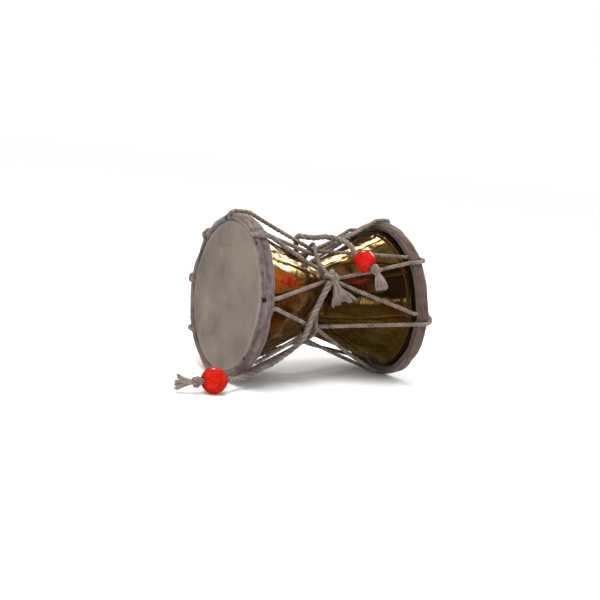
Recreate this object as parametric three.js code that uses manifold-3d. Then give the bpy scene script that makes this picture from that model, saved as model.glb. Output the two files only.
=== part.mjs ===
// A damaru: an hourglass drum of sheet brass with a skin at each end, a cloth-wrapped hoop round
// each skin, one cord laced from hoop to hoop and gathered at the waist, and two beaters.
// Millimetres, +Z up. The drum lies on its side, its axis along X, on the two hoops; floor at z = 0.
import * as THREE from "three";
import { mergeVertices } from "three/addons/utils/BufferGeometryUtils.js";
import Module from "manifold-3d";

const wasm = await Module();
wasm.setup();

// The drum as a whole
const AXIS_HEIGHT = 41.5;
const CENTRE_SHIFT = -0.2;
const HALF_LENGTH = 49;
const LEFT_LEAN = Math.tan(THREE.MathUtils.degToRad(2.6));
const RIGHT_LEAN = Math.tan(THREE.MathUtils.degToRad(-4.8));
const LEAN_FULL_AT = 40;

// Brass body: two cones meeting at the waist, a rolled bead and a short collar at each end
const WAIST_RADIUS = 18;
const MOUTH_RADIUS = 36.4;
const MOUTH_AT = 44;
const COLLAR_RADIUS = 37.4;
const BRASS_WALL = 1.3;
const BRASS_END = 47.2;
const BODY_SEGMENTS = 44;

// Skins: a disc stretched over the collar, its edge turned back as a short skirt
const SKIN_FACE = 48.2;
const SKIN_THICKNESS = 0.7;
const SKIN_RADIUS = 38.4;
const SKIRT_END = 44.8;

// Hoops: cloth-wrapped rings with a flat spot where the drum rests
const HOOP_OUTER = 42;
const HOOP_INNER = 38.7;
const HOOP_BACK = 42;
const HOOP_ROUND = 1.2;
const HOOP_SEGMENTS = 44;
const HOOP_CENTRE = (HOOP_BACK + HALF_LENGTH) / 2;

// Lacing: one cord, sixteen strands, eight loops over each hoop
const LACE_RADIUS = 1.1;
const LACE_SIDES = 6;
const LACE_GAP = 0.3;
const LACE_TUNNEL_RADIUS = 1.55;
const LOOP_STEPS = 8;
const STRAND_STEPS = 4;
const SHORT_STEPS = 1;
const STRAND_END_AT = HOOP_CENTRE - 4.5;
const OVER_RADIUS = 42.4;
const UNDER_RADIUS = 39.7;
const CROSSING_RISE = 2.0;
const STRAND_OVERRUN = 0.8;

// Each loop: its angle round the hoop from the near side, half its spread, and whether it is
// tucked under the wrap instead of showing over the hoop.
const LEFT_LOOPS = [
  { angle: -53.25, spread: 8.75, tucked: true },
  { angle: 4, spread: 3.5, tucked: true },
  { angle: 54.5, spread: 3.5, tucked: false },
  { angle: 94, spread: 3.5, tucked: false },
  { angle: 138, spread: 3.5, tucked: false },
  { angle: 176, spread: 3.5, tucked: false },
  { angle: 214, spread: 3.5, tucked: false },
  { angle: 256, spread: 3.5, tucked: true },
];
const RIGHT_LOOPS = [
  { angle: -87, spread: 3.5, tucked: true },
  { angle: -5.5, spread: 3.5, tucked: false },
  { angle: 38.3, spread: 3.5, tucked: false },
  { angle: 91, spread: 3.5, tucked: false },
  { angle: 129, spread: 3.5, tucked: false },
  { angle: 166, spread: 3.5, tucked: false },
  { angle: 203, spread: 3.5, tucked: false },
  { angle: 240, spread: 3.5, tucked: true },
];
// A loop's route as (out from the hoop's middle, radius, share of the spread)
const OVER_LOOP = [
  [-5.3, 42.3, -1.0],
  [-3.6, 42.6, -1.0],
  [-1.0, 42.8, -0.95],
  [1.8, 42.8, -0.8],
  [3.5, 42.4, -0.5],
  [4.3, 41.5, -0.1],
  [4.2, 40.5, 0.35],
  [2.8, 39.9, 0.65],
  [0.5, 39.8, 0.85],
  [-2.5, 39.8, 0.97],
  [-5.3, 39.6, 1.0],
];
const TUCKED_LOOP = [
  [-5.3, 39.6, -1.0],
  [-2.6, 39.8, -0.95],
  [-1.0, 39.9, -0.55],
  [-0.4, 39.9, 0.0],
  [-1.0, 39.9, 0.55],
  [-2.6, 39.8, 0.95],
  [-5.3, 39.6, 1.0],
];
// Gathers at the waist, one between each pair of neighbouring loops: (x, angle, inner radius)
const GATHERS = [
  [-2.8, -38, 20.7],
  [0.5, 33.5, 20.6],
  [0, 86, 22.8],
  [0, 120, 22.3],
  [0, 158, 22.3],
  [0, 194, 22.3],
  [0, 232, 22.3],
  [-0.5, 272, 22.2],
];
// One strand is drawn in by the waist cord before its gather
const DRAWN_IN = { gather: 1, outer: true, point: [-2.5, 51.5, 20.6] };

// Waist cord: a closed ring tied tightly over the strands, with its knot in front
const WAIST_CORD_RADIUS = 1.1;
const WAIST_CORD_SIDES = 8;
const WAIST_CORD_STEPS = 48;
const WAIST_ROUTE = [
  [-0.3, 102, 23.2],
  [-0.6, 93, 26.9],
  [-1.0, 86, 28.3],
  [-1.8, 78, 26.6],
  [-2.4, 68, 24.2],
  [-3.0, 58, 23.8],
  [-2.8, 50, 24.0],
  [-1.8, 40, 24.4],
  [-0.6, 32, 25.0],
  [-1.2, 23, 24.5],
  [-3.6, 12, 22.5],
  [-5.6, 0, 22.0],
  [-7.4, -11, 22.9],
  [-8.0, -20, 25.1],
  [-7.8, -29, 27.3],
  [-7.2, -38, 26.1],
  [-5.8, -49, 24.0],
  [-3.8, -62, 21.6],
  [-1.8, -76, 20.4],
  [-0.4, -90, 19.8],
  [0, -118, 19.8],
  [0, -146, 19.8],
  [0, -174, 19.8],
  [0, -202, 19.8],
  [0, -226, 19.8],
  [0, -244, 19.8],
];
const WAIST_KNOT = { x: -0.4, angle: 33, radius: 26.3, size: [3.1, 2.3, 3.0] };

// Beater cords, waist end first, then through the bead to the knot; z from the floor
const BEATER_RADIUS = 1.5;
const BEATER_SIDES = 8;
const BEATER_1_STEPS = 44;
const BEATER_2_STEPS = 30;
const BEATER_1_ROUTE = [
  [-3.2, -25.6, 53.6],
  [-5.0, -25.0, 48.5],
  [-7.0, -24.5, 43.5],
  [-9.5, -25.0, 39.0],
  [-12.5, -27.0, 34.5],
  [-14.5, -27.5, 29.5],
  [-16.0, -26.0, 24.5],
  [-19.0, -23.5, 19.5],
  [-22.5, -21.0, 15.5],
  [-29.5, -22.0, 11.5],
  [-39.5, -28.0, 10.0],
  [-46.0, -29.0, 7.5],
  [-50.5, -28.3, 5.5],
  [-54.0, -30.3, 5.6],
  [-57.0, -32.0, 6.2],
  [-59.4, -32.8, 6.6],
  [-62.7, -32.9, 6.5],
  [-66.0, -33.0, 6.4],
  [-69.3, -33.1, 6.3],
  [-72.4, -33.2, 6.2],
];
const BEATER_2_ROUTE = [
  [1.8, 17.8, 57.0],
  [0.0, 17.0, 63.5],
  [-3.5, 12.0, 69.5],
  [-6.5, 4.5, 73.0],
  [-7.0, -2.5, 73.4],
  [-2.0, -4.0, 73.2],
  [5.5, -2.0, 73.8],
  [10.5, -4.5, 73.6],
  [13.0, -10.5, 72.5],
  [13.5, -15.5, 71.0],
  [13.1, -19.2, 69.0],
  [13.2, -22.4, 67.1],
  [14.1, -25.0, 66.0],
  [15.0, -27.5, 64.8],
  [15.9, -30.1, 63.6],
  [16.7, -32.4, 62.6],
];

// Beads, bored for the cord, and the knots and frayed tassels outside them
const BORE_RADIUS = 1.85;
const BEAD_1 = { centre: [-66.0, -33.0, 6.4], radius: 6.4, toKnot: [-1, -0.03, -0.03] };
const BEAD_2 = { centre: [15.0, -27.5, 64.8], radius: 5.7, toKnot: [0.3, -0.87, -0.39] };
const BEAD_SEGMENTS = 22;
const BEAD_RINGS = 11;
const KNOT_SEGMENTS = 14;
const KNOT_RINGS = 8;
const KNOT_1 = { centre: [-75.2, -33.3, 6.1], size: [2.4, 2.6, 2.5] };
const KNOT_2 = { centre: [17.6, -34.9, 61.5], size: [2.3, 2.4, 2.4] };

// Tassels: a row of (centre, half width, half thickness) from the knot to the frayed end,
// with the direction its width runs in.
const TASSEL_SIDES = 10;
const WAIST_TASSEL = {
  across: [0.8, -0.3, 0.35],
  rows: [
    [[0.4, -23.0, 53.9], 1.2, 1.0],
    [[1.9, -24.1, 51.2], 1.4, 0.9],
    [[3.6, -23.6, 48.4], 2.5, 0.9],
    [[6.2, -23.2, 45.0], 4.6, 0.9],
    [[8.4, -23.5, 42.0], 5.8, 0.8],
  ],
};
const TASSEL_1 = {
  across: [0.2, 0.25, 0.9],
  rows: [
    [[-76.2, -33.0, 6.0], 1.2, 1.2],
    [[-77.9, -32.3, 5.7], 1.3, 1.2],
    [[-79.9, -31.2, 5.3], 1.9, 1.2],
    [[-82.2, -29.8, 4.9], 2.9, 1.2],
    [[-84.8, -28.2, 4.9], 4.0, 1.1],
  ],
};
const TASSEL_2 = {
  across: [0.85, -0.1, 0.15],
  rows: [
    [[18.0, -35.2, 60.5], 1.2, 1.0],
    [[18.9, -35.7, 58.7], 1.3, 1.0],
    [[20.0, -35.9, 56.7], 2.1, 1.0],
    [[21.2, -35.7, 53.9], 2.9, 1.0],
    [[22.8, -35.7, 50.3], 3.3, 0.9],
  ],
};

const COLOURS = {
  brass: { color: 0xb9853a, roughness: 0.16, metalness: 1 },
  skin: { color: 0xb3a898, roughness: 0.7, metalness: 0 },
  wrap: { color: 0x8f8283, roughness: 0.9, metalness: 0 },
  cord: { color: 0x9c8b80, roughness: 0.9, metalness: 0 },
  bead: { color: 0xe01e0a, roughness: 0.12, metalness: 0 },
};

const group = new THREE.Group();
group.name = "damaru";

// A point on the drum from its place along the axis, its angle from the near side and its radius,
// z from the axis.
function onDrum(x, angle, radius) {
  const turn = THREE.MathUtils.degToRad(angle);
  return new THREE.Vector3(x, -radius * Math.cos(turn), radius * Math.sin(turn));
}

// The drum's ends are not quite square to its axis: each end leans a little. This leans a point
// and lifts it from the axis to the floor's frame.
function placed(point) {
  const share = Math.min(Math.abs(point.x) / LEAN_FULL_AT, 1) ** 2;
  const lean = point.x < 0 ? LEFT_LEAN : RIGHT_LEAN;
  const x = point.x + lean * share * point.z + CENTRE_SHIFT;
  return new THREE.Vector3(x, point.y, point.z + AXIS_HEIGHT);
}

// A point given from the floor, moved with the drum's centring
function fromFloor([x, y, z]) {
  return new THREE.Vector3(x + CENTRE_SHIFT, y, z);
}

function placeGeometry(geometry) {
  const position = geometry.getAttribute("position");
  const point = new THREE.Vector3();
  for (let i = 0; i < position.count; i += 1) {
    const moved = placed(point.fromBufferAttribute(position, i));
    position.setXYZ(i, moved.x, moved.y, moved.z);
  }
  return geometry;
}

// A closed profile of (x, radius) points turned round the drum's axis
function turned(profile, segments) {
  const points = profile.map(([x, radius]) => new THREE.Vector2(radius, x));
  const geometry = new THREE.LatheGeometry(points, segments);
  geometry.rotateZ(-Math.PI / 2);
  return placeGeometry(geometry);
}

// A round cord along a list of points
function cord(points, radius, sides, steps, closed = false) {
  const shape = new THREE.Shape(
    Array.from({ length: sides }, (_, i) => {
      const turn = (2 * Math.PI * i) / sides;
      return new THREE.Vector2(radius * Math.cos(turn), radius * Math.sin(turn));
    }),
  );
  const path = new THREE.CatmullRomCurve3(points, closed);
  return new THREE.ExtrudeGeometry(shape, { steps, bevelEnabled: false, extrudePath: path });
}

function solidOf(geometry) {
  const bare = new THREE.BufferGeometry();
  const loose = geometry.index ? geometry.toNonIndexed() : geometry;
  bare.setAttribute("position", loose.getAttribute("position"));
  const merged = mergeVertices(bare, 1e-4);
  const mesh = new wasm.Mesh({
    numProp: 3,
    vertProperties: new Float32Array(merged.attributes.position.array),
    triVerts: new Uint32Array(merged.index.array),
  });
  return new wasm.Manifold(mesh);
}

function geometryOf(solid) {
  const mesh = solid.getMesh();
  const positions = new Float32Array(mesh.numVert * 3);
  for (let i = 0; i < mesh.numVert; i += 1) {
    const from = i * mesh.numProp;
    positions.set(mesh.vertProperties.subarray(from, from + 3), i * 3);
  }
  const geometry = new THREE.BufferGeometry();
  geometry.setAttribute("position", new THREE.BufferAttribute(positions, 3));
  geometry.setIndex(new THREE.BufferAttribute(mesh.triVerts, 1));
  return geometry;
}

function add(name, geometry, colour) {
  const shaded = geometry.clone();
  shaded.computeVertexNormals();
  const mesh = new THREE.Mesh(shaded, new THREE.MeshStandardMaterial(COLOURS[colour]));
  mesh.name = name;
  group.add(mesh);
}

// Brass body
const OUTSIDE = [
  [0, WAIST_RADIUS],
  [2.2, WAIST_RADIUS + 0.95],
  [MOUTH_AT, MOUTH_RADIUS],
  [44.8, 37.1],
  [45.7, COLLAR_RADIUS],
  [BRASS_END, COLLAR_RADIUS],
];
const INSIDE = [
  [BRASS_END, COLLAR_RADIUS - BRASS_WALL],
  [45.7, COLLAR_RADIUS - BRASS_WALL],
  [43.4, MOUTH_RADIUS - BRASS_WALL - 0.3],
  [2.2, WAIST_RADIUS + 0.95 - BRASS_WALL],
  [0, WAIST_RADIUS - BRASS_WALL],
];
const bodyProfile = [
  ...OUTSIDE.slice(1).reverse().map(([x, radius]) => [-x, radius]),
  ...OUTSIDE,
  ...INSIDE,
  ...INSIDE.slice(0, -1).reverse().map(([x, radius]) => [-x, radius]),
];
bodyProfile.push(bodyProfile[0]);
add("brass_body", turned(bodyProfile, BODY_SEGMENTS), "brass");

// Skins
const SKIN_INNER = SKIN_RADIUS - SKIN_THICKNESS;
const SKIN_BACK = SKIN_FACE - SKIN_THICKNESS;
const skinProfile = [
  [SKIRT_END, SKIN_INNER],
  [SKIRT_END, SKIN_RADIUS],
  [SKIN_FACE - 1.0, SKIN_RADIUS],
  [SKIN_FACE - 0.3, SKIN_RADIUS - 0.3],
  [SKIN_FACE, SKIN_RADIUS - 1.0],
  [SKIN_FACE, 0],
];
const skinInside = [
  [SKIN_BACK, 0],
  [SKIN_BACK, SKIN_INNER],
];
const rightSkin = [...skinInside, ...skinProfile];
const leftSkin = rightSkin.map(([x, radius]) => [-x, radius]).reverse();
add("right_skin", turned(rightSkin, BODY_SEGMENTS), "skin");
add("left_skin", turned(leftSkin, BODY_SEGMENTS), "skin");

// Lacing: the loops over the hoops, then the strands between them
function loopPoints(loop, side) {
  const route = loop.tucked ? TUCKED_LOOP : OVER_LOOP;
  return route.map(([out, radius, share]) =>
    placed(onDrum(side * (HOOP_CENTRE + out), loop.angle + share * loop.spread, radius)),
  );
}

function strandEnd(loops, index, side, over) {
  const loop = loops[index];
  const angle = loop.angle + (over ? -loop.spread : loop.spread);
  const radius = over && !loop.tucked ? OVER_RADIUS : UNDER_RADIUS;
  return onDrum(side * STRAND_END_AT, angle, radius);
}

// A taut length between two points, pushed out wherever it would touch the brass
function tautLength(from, to, steps, overrun) {
  const clear = LACE_RADIUS + LACE_GAP;
  const reach = to.clone().sub(from);
  const share = 1 + overrun / reach.length();
  const points = Array.from({ length: steps + 1 }, (_, i) => {
    const point = from.clone().addScaledVector(reach, (share * i) / steps);
    const grown = (MOUTH_RADIUS - WAIST_RADIUS) * Math.min(Math.abs(point.x) / MOUTH_AT, 1);
    const least = WAIST_RADIUS + grown + clear;
    const radius = Math.hypot(point.y, point.z);
    if (radius < least) {
      point.y *= least / radius;
      point.z *= least / radius;
    }
    return placed(point);
  });
  return cord(points, LACE_RADIUS, LACE_SIDES, steps);
}

const laceParts = [];
const tunnels = { left: [], right: [] };
for (const [loops, side, name] of [[LEFT_LOOPS, -1, "left"], [RIGHT_LOOPS, 1, "right"]]) {
  for (const loop of loops) {
    const points = loopPoints(loop, side);
    laceParts.push(solidOf(cord(points, LACE_RADIUS, LACE_SIDES, LOOP_STEPS)));
    tunnels[name].push(solidOf(cord(points, LACE_TUNNEL_RADIUS, LACE_SIDES, LOOP_STEPS)));
  }
}
GATHERS.forEach(([x, angle, radius], gather) => {
  const next = (gather + 1) % GATHERS.length;
  for (const outer of [false, true]) {
    const middle = onDrum(x, angle, radius + (outer ? CROSSING_RISE : 0));
    const left = strandEnd(LEFT_LOOPS, outer ? next : gather, -1, outer);
    const right = strandEnd(RIGHT_LOOPS, outer ? gather : next, 1, !outer);
    if (DRAWN_IN.gather === gather && DRAWN_IN.outer === outer) {
      const drawn = onDrum(...DRAWN_IN.point);
      laceParts.push(solidOf(tautLength(left, drawn, STRAND_STEPS, STRAND_OVERRUN)));
      laceParts.push(solidOf(tautLength(drawn, middle, SHORT_STEPS, STRAND_OVERRUN)));
    } else {
      laceParts.push(solidOf(tautLength(left, middle, STRAND_STEPS, STRAND_OVERRUN)));
    }
    laceParts.push(solidOf(tautLength(right, middle, STRAND_STEPS, STRAND_OVERRUN)));
  }
});
add("lacing", geometryOf(wasm.Manifold.union(laceParts)), "cord");

// Hoops, with the lacing's tunnels and the flat spot cut in
const hoopProfile = [
  [HOOP_BACK, HOOP_INNER],
  [HOOP_BACK, HOOP_OUTER - HOOP_ROUND],
  [HOOP_BACK + 0.3 * HOOP_ROUND, HOOP_OUTER - 0.3 * HOOP_ROUND],
  [HOOP_BACK + HOOP_ROUND, HOOP_OUTER],
  [HALF_LENGTH - HOOP_ROUND, HOOP_OUTER],
  [HALF_LENGTH - 0.3 * HOOP_ROUND, HOOP_OUTER - 0.3 * HOOP_ROUND],
  [HALF_LENGTH, HOOP_OUTER - HOOP_ROUND],
  [HALF_LENGTH, HOOP_INNER + 0.7],
  [HALF_LENGTH - 0.6, HOOP_INNER],
  [HOOP_BACK, HOOP_INNER],
];
function hoop(profile, cuts) {
  const ring = solidOf(turned(profile, HOOP_SEGMENTS));
  const cut = wasm.Manifold.difference([ring, ...cuts]);
  return geometryOf(cut.trimByPlane([0, 0, 1], 0));
}
const leftHoop = hoopProfile.map(([x, radius]) => [-x, radius]).reverse();
add("left_hoop", hoop(leftHoop, tunnels.left), "wrap");
add("right_hoop", hoop(hoopProfile, tunnels.right), "wrap");

// Waist cord: two lengths that run into each other make the ring; the knot and its frayed
// end are the same cord
function ring(points, radius, sides, steps) {
  const path = new THREE.CatmullRomCurve3(points, true);
  const around = path.getSpacedPoints(steps).slice(0, steps);
  const half = steps / 2;
  const arc = (start) => Array.from({ length: half + 2 }, (_, i) => around[(start + i) % steps]);
  return [arc(0), arc(half)].map((run) => solidOf(cord(run, radius, sides, half + 1)));
}

function ellipsoid(centre, size, turn) {
  const geometry = new THREE.SphereGeometry(1, KNOT_SEGMENTS, KNOT_RINGS);
  geometry.scale(...size);
  geometry.rotateX(turn);
  geometry.translate(centre.x, centre.y, centre.z);
  return solidOf(geometry);
}

// A flat tapering bundle through rows of (centre, half width, half thickness)
function tassel({ across, rows }) {
  const width = new THREE.Vector3(...across).normalize();
  const centres = rows.map(([centre]) => fromFloor(centre));
  const positions = [];
  centres.forEach((centre, i) => {
    const before = centres[Math.max(i - 1, 0)];
    const after = centres[Math.min(i + 1, centres.length - 1)];
    const along = after.clone().sub(before).normalize();
    const side = width.clone().addScaledVector(along, -width.dot(along)).normalize();
    const thick = new THREE.Vector3().crossVectors(along, side);
    const [, halfWidth, halfThickness] = rows[i];
    for (let k = 0; k < TASSEL_SIDES; k += 1) {
      const turn = (2 * Math.PI * k) / TASSEL_SIDES;
      const point = centre.clone();
      point.addScaledVector(side, halfWidth * Math.cos(turn));
      point.addScaledVector(thick, halfThickness * Math.sin(turn));
      positions.push(...point.toArray());
    }
  });
  const first = positions.length / 3;
  positions.push(...centres[0].toArray(), ...centres.at(-1).toArray());
  const faces = [];
  const last = (rows.length - 1) * TASSEL_SIDES;
  for (let k = 0; k < TASSEL_SIDES; k += 1) {
    const next = (k + 1) % TASSEL_SIDES;
    for (let i = 0; i < last; i += TASSEL_SIDES) {
      faces.push(i + k, i + next, i + TASSEL_SIDES + next);
      faces.push(i + k, i + TASSEL_SIDES + next, i + TASSEL_SIDES + k);
    }
    faces.push(first, next, k);
    faces.push(first + 1, last + k, last + next);
  }
  const geometry = new THREE.BufferGeometry();
  geometry.setAttribute("position", new THREE.Float32BufferAttribute(positions, 3));
  geometry.setIndex(faces);
  return solidOf(geometry);
}

const waistPoints = WAIST_ROUTE.map(([x, angle, radius]) => placed(onDrum(x, angle, radius)));
const knotCentre = placed(onDrum(WAIST_KNOT.x, WAIST_KNOT.angle, WAIST_KNOT.radius));
const knotTurn = Math.PI - THREE.MathUtils.degToRad(WAIST_KNOT.angle);
const waistCord = wasm.Manifold.union([
  ...ring(waistPoints, WAIST_CORD_RADIUS, WAIST_CORD_SIDES, WAIST_CORD_STEPS),
  ellipsoid(knotCentre, WAIST_KNOT.size, knotTurn),
  tassel(WAIST_TASSEL),
]);
add("waist_cord", geometryOf(waistCord), "cord");

// Beaters: cord, bored bead, then the knot with its frayed end
function bead({ centre, radius, toKnot }) {
  const half = Math.sqrt(radius ** 2 - BORE_RADIUS ** 2);
  const limit = Math.atan2(half, BORE_RADIUS);
  const profile = Array.from({ length: BEAD_RINGS + 1 }, (_, i) => {
    const turn = -limit + (2 * limit * i) / BEAD_RINGS;
    return new THREE.Vector2(radius * Math.cos(turn), radius * Math.sin(turn));
  });
  profile.push(profile[0]);
  const geometry = new THREE.LatheGeometry(profile, BEAD_SEGMENTS);
  const axis = new THREE.Vector3(...toKnot).normalize();
  geometry.applyQuaternion(
    new THREE.Quaternion().setFromUnitVectors(new THREE.Vector3(0, 1, 0), axis),
  );
  const at = fromFloor(centre);
  return geometry.translate(at.x, at.y, at.z);
}

const beaters = [
  ["beater_1", BEATER_1_ROUTE, BEATER_1_STEPS, BEAD_1, KNOT_1, TASSEL_1],
  ["beater_2", BEATER_2_ROUTE, BEATER_2_STEPS, BEAD_2, KNOT_2, TASSEL_2],
];
for (const [name, route, steps, ball, knot, fringe] of beaters) {
  add(name + "_cord", cord(route.map(fromFloor), BEATER_RADIUS, BEATER_SIDES, steps), "cord");
  add(name + "_bead", bead(ball), "bead");
  const end = wasm.Manifold.union([
    ellipsoid(fromFloor(knot.centre), knot.size, 0),
    tassel(fringe),
  ]);
  add(name + "_knot", geometryOf(end), "cord");
}

export default group;
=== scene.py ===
# A damaru lying on its side: an hourglass drum of polished sheet brass, a parchment skin at each
# mouth, a cloth-wrapped hoop round each skin, cotton lacing drawn in at the waist, and two beaters,
# each a cord with a bead and a knotted, frayed end. Lengths are in millimetres until they are made
# into meshes, which are in metres, in the CAD's frame.
import math
import random

import bpy
import numpy as np
from mathutils import Matrix, Vector, noise


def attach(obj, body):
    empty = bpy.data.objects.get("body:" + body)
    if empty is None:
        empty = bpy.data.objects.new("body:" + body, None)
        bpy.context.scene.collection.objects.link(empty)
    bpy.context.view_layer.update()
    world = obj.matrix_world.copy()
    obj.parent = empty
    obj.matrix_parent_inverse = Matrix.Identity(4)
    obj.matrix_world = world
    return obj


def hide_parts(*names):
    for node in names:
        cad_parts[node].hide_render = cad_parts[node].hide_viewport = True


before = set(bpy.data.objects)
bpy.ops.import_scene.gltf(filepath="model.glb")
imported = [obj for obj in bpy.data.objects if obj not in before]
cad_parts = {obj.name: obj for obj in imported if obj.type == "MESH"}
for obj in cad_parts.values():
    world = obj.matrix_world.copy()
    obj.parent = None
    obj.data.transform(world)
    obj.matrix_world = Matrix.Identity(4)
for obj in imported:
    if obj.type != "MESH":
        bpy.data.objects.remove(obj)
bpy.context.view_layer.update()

# ---------------------------------------------------------------------------------------------
# The camera: eye level just above the drum, off its left head, turned a little on its own axis.
MM = 0.001
AXIS_HEIGHT = 41.5
CENTRE_SHIFT = -0.2
DRUM_CENTRE = Vector((CENTRE_SHIFT, 0.0, AXIS_HEIGHT))
CAMERA_AZIMUTH = math.radians(-30.2)
CAMERA_ELEVATION = math.radians(8.0)
CAMERA_ROLL = math.radians(5.5)
CAMERA_DISTANCE = 526.3
CAMERA_SIDESTEP = 4.12
CAMERA_DROP = 1.55

camera_back = Vector((
    math.sin(CAMERA_AZIMUTH) * math.cos(CAMERA_ELEVATION),
    -math.cos(CAMERA_AZIMUTH) * math.cos(CAMERA_ELEVATION),
    math.sin(CAMERA_ELEVATION),
))
level_right = Vector((math.cos(CAMERA_AZIMUTH), math.sin(CAMERA_AZIMUTH), 0.0))
level_up = camera_back.cross(level_right)
camera_right = level_right * math.cos(CAMERA_ROLL) + level_up * math.sin(CAMERA_ROLL)
camera_up = level_up * math.cos(CAMERA_ROLL) - level_right * math.sin(CAMERA_ROLL)
camera_data = bpy.data.cameras.new("camera")
camera_data.lens = 60.0
camera_data.sensor_width = 36.0
camera_data.clip_start = 0.01
camera_data.clip_end = 20.0
camera = bpy.data.objects.new("camera", camera_data)
bpy.context.scene.collection.objects.link(camera)
camera_place = DRUM_CENTRE + camera_back * CAMERA_DISTANCE
camera_place -= camera_right * CAMERA_SIDESTEP + camera_up * CAMERA_DROP
camera_turn = Matrix((camera_right, camera_up, camera_back)).transposed().to_4x4()
camera.matrix_world = Matrix.Translation(camera_place * MM) @ camera_turn
bpy.context.scene.camera = camera

# ---------------------------------------------------------------------------------------------
# Beater cords: three-ply cotton, limp, each tied to the waist cord. The first hangs in front of
# the drum and lies out past the left head; the second goes over the top and down the near side.
# Both run through their bead to a knot, so the knot and the frayed end are the same cord.
BEATER_RADIUS = 1.5
BEATER_LAY = 10.0
BEATER_1_ROUTE = [
    (-3.2, -25.6, 53.6),
    (-5.0, -25.0, 48.5),
    (-7.0, -24.5, 43.5),
    (-9.5, -25.0, 39.0),
    (-12.5, -27.0, 34.5),
    (-14.5, -27.5, 29.5),
    (-16.0, -26.0, 24.5),
    (-19.0, -23.5, 19.5),
    (-22.5, -21.0, 15.5),
    (-29.5, -22.0, 11.5),
    (-39.5, -28.0, 10.0),
    (-46.0, -29.0, 7.5),
    (-50.5, -28.3, 5.5),
    (-54.0, -30.3, 5.6),
    (-57.0, -32.0, 6.2),
    (-59.4, -32.8, 6.6),
    (-62.7, -32.9, 6.5),
    (-66.0, -33.0, 6.4),
    (-69.3, -33.1, 6.3),
    (-72.4, -33.2, 6.2),
]
BEATER_2_ROUTE = [
    (1.8, 17.8, 57.0),
    (0.0, 17.0, 63.5),
    (-3.5, 12.0, 69.5),
    (-6.5, 4.5, 73.0),
    (-7.0, -2.5, 73.4),
    (-2.0, -4.0, 73.2),
    (5.5, -2.0, 73.8),
    (10.5, -4.5, 73.6),
    (13.0, -10.5, 72.5),
    (13.5, -15.5, 71.0),
    (13.1, -19.2, 69.0),
    (13.2, -22.4, 67.1),
    (14.1, -25.0, 66.0),
    (15.0, -27.5, 64.8),
    (15.9, -30.1, 63.6),
    (16.7, -32.4, 62.6),
]


def from_floor(points):
    """Points given from the floor, moved with the drum's centring."""
    return [np.array(p, float) + np.array((DRUM_CENTRE.x, 0.0, 0.0)) for p in points]


SPAN_STEPS = 16


def smooth_route(points, spacing, closed=False):
    """Points an even distance apart on one smooth curve through the given points."""
    points = [np.array(p, float) for p in points]
    count = len(points)
    dense = []
    for i in range(count if closed else count - 1):
        start, end = points[i], points[(i + 1) % count]
        before = points[i - 1] if closed or i else 2 * start - end
        after = points[(i + 2) % count] if closed or i + 2 < count else 2 * end - start
        pairs = ((before, start), (start, end), (end, after))
        a, b, c = [max(float(np.linalg.norm(q - p)) ** 0.5, 1e-4) for p, q in pairs]
        leave = (start - before) / a - (end - before) / (a + b) + (end - start) / b
        arrive = (end - start) / b - (after - start) / (b + c) + (after - end) / c
        for t in np.linspace(0, 1, SPAN_STEPS, endpoint=False):
            dense.append(
                start * (2 * t**3 - 3 * t**2 + 1)
                + leave * b * (t**3 - 2 * t**2 + t)
                + end * (3 * t**2 - 2 * t**3)
                + arrive * b * (t**3 - t**2)
            )
    dense.append(points[0] if closed else points[-1])
    dense = np.array(dense)
    along = np.concatenate(([0.0], np.cumsum(np.linalg.norm(np.diff(dense, axis=0), axis=1))))
    wanted = np.linspace(0, along[-1], max(int(round(along[-1] / spacing)), 4) + 1)
    route = np.stack([np.interp(wanted, along, dense[:, k]) for k in range(3)], axis=1)
    return route[:-1] if closed else route


def unit(vector):
    """The same way, one long."""
    vector = np.array(vector, float)
    return vector / np.linalg.norm(vector)


# A way that no cord sets out in, so that its first side can be found from it
OFF_ROUTE = (0.31, 0.17, 0.93)


def tube(route, radii, outline, turn_a_mm=0.0, closed=False):
    """Points and faces of a tube: an outline of reaches round each point of the route, which
    turns by so much a millimetre, with its ends closed."""
    route = np.array(route, float)
    count, sides = len(route), len(outline)
    ahead, behind = np.roll(route, -1, axis=0), np.roll(route, 1, axis=0)
    if not closed:
        ahead[-1], behind[0] = route[-1], route[0]
    forward = ahead - behind
    forward /= np.linalg.norm(forward, axis=1)[:, None]
    normal = unit(np.cross(forward[0], OFF_ROUTE))
    normals = []
    for direction in forward:
        normal = unit(normal - direction * float(normal @ direction))
        normals.append(normal)
    normals = np.array(normals)
    sideways = np.cross(forward, normals)
    step = float(np.linalg.norm(route[1] - route[0]))
    whole_turn = turn_a_mm * step * count
    if closed:
        first = unit(normal - forward[0] * float(normal @ forward[0]))
        slip = math.atan2(float(first @ sideways[0]), float(first @ normals[0]))
        whole_turn = round(whole_turn / (2 * math.pi)) * 2 * math.pi - slip
    angles = np.arange(sides) * 2 * math.pi / sides
    angles = angles[None, :] + (np.arange(count) * whole_turn / count)[:, None]
    reach = np.array(outline)[None, :] * np.broadcast_to(radii, (count,))[:, None]
    out = normals[:, None, :] * np.cos(angles)[:, :, None]
    out = out + sideways[:, None, :] * np.sin(angles)[:, :, None]
    verts = (route[:, None, :] + out * reach[:, :, None]).reshape(-1, 3)
    faces = []
    for i in range(count if closed else count - 1):
        this, following = i * sides, ((i + 1) % count) * sides
        for k in range(sides):
            following_side = (k + 1) % sides
            faces.append(
                (this + k, this + following_side, following + following_side, following + k)
            )
    if not closed:
        verts = np.vstack((verts, route[:1], route[-1:]))
        first, last = len(verts) - 2, len(verts) - 1
        for k in range(sides):
            following_side = (k + 1) % sides
            faces.append((first, following_side, k))
            tail = (count - 1) * sides
            faces.append((last, tail + k, tail + following_side))
    return verts, faces


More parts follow.
